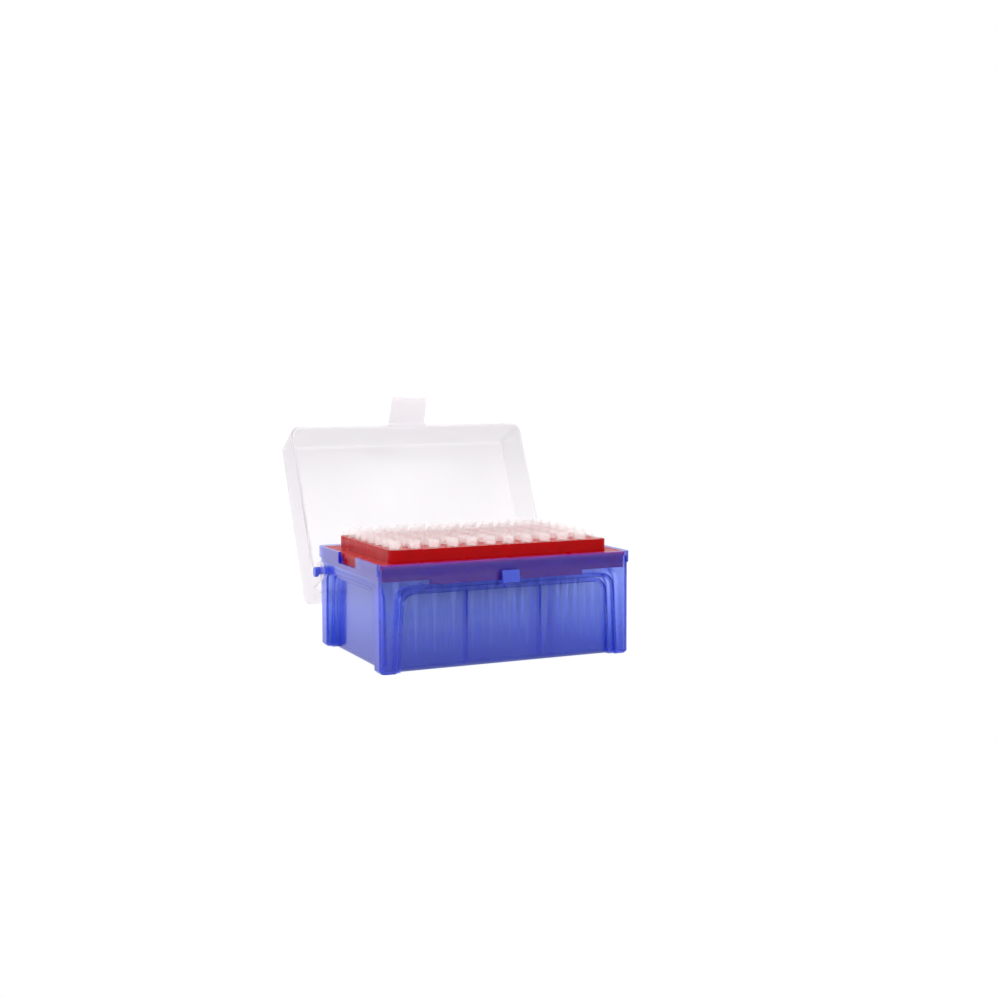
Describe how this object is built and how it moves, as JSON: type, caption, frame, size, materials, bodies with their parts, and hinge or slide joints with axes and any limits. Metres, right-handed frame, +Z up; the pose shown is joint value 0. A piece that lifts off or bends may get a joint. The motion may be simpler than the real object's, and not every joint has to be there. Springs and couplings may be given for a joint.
{
  "type": "pipette tip box",
  "caption": "Hinged lab box: blue see-through tub, red rack holding a grid of hollow pipette tips, pale lid swung open, latch tab on its edge.",
  "frame": {"origin": "centre of the tub's foot, on the plane it stands on", "axes": "+Z up, +X along the row of twelve, +Y towards the hinge at the back; the latch side faces -Y"},
  "size_m": [0.1304, 0.1446, 0.1173],
  "materials": {
    "tub_plastic": "see-through blue polypropylene, moulded glossy",
    "rack_plastic": "red polypropylene, moulded satin",
    "lid_plastic": "natural polypropylene, moulded, faintly hazy",
    "latch_plastic": "natural polypropylene, moulded, faintly hazy",
    "tip_plastic": "natural polypropylene, moulded, clear"
  },
  "bodies": {
    "tub": {"base": "tub_plastic", "rack": "rack_plastic", "tips_column_01": "tip_plastic", "tips_column_02": "tip_plastic", "tips_column_03": "tip_plastic", "tips_column_04": "tip_plastic", "tips_column_05": "tip_plastic", "tips_column_06": "tip_plastic", "tips_column_07": "tip_plastic", "tips_column_08": "tip_plastic", "tips_column_09": "tip_plastic", "tips_column_10": "tip_plastic", "tips_column_11": "tip_plastic", "tips_column_12": "tip_plastic"},
    "lid": {"lid": "lid_plastic"},
    "latch": {"latch_tab": "latch_plastic"}
  },
  "joints": [
    {"name": "lid_hinge", "type": "hinge", "parent": "tub", "child": "lid", "pos_m": [0, 0.0357, 0.036], "axis": [1, 0, 0], "range_deg": [0, 115.3]},
    {"name": "latch_hinge", "type": "hinge", "parent": "lid", "child": "latch", "pos_m": [0, 0.08306, 0.10343], "axis": [1, 0, 0], "range_deg": [-46, 44], "stiffness_Nm_per_rad": 0.003}
  ]
}
